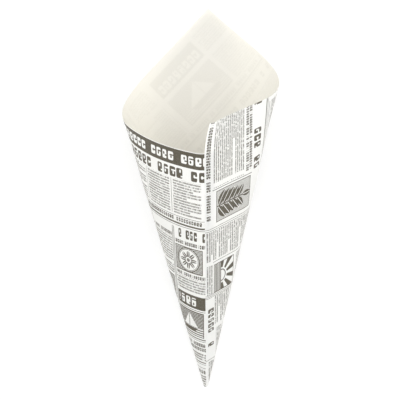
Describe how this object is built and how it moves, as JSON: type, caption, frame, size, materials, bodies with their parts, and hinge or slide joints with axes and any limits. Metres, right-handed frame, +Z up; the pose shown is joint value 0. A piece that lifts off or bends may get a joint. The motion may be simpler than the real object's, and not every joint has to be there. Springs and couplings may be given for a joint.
{
  "type": "paper cone bag",
  "caption": "Paper cone bag rolled from one printed sheet: blunt tip, soft side folds, tall pointed back panel and a glued seam down the front.",
  "frame": {"origin": "middle of the bounding box, on the surface that the bag lies on", "axes": "+Y along the bag from its blunt tip to its mouth, +Z up from the back panel to the seam ridge"},
  "size_m": [0.0986, 0.246, 0.0914],
  "materials": {
    "printed_paper": "uncoated greaseproof paper, printed on the outside"
  },
  "bodies": {
    "root": {"cone_bag": "printed_paper"}
  },
  "joints": []
}
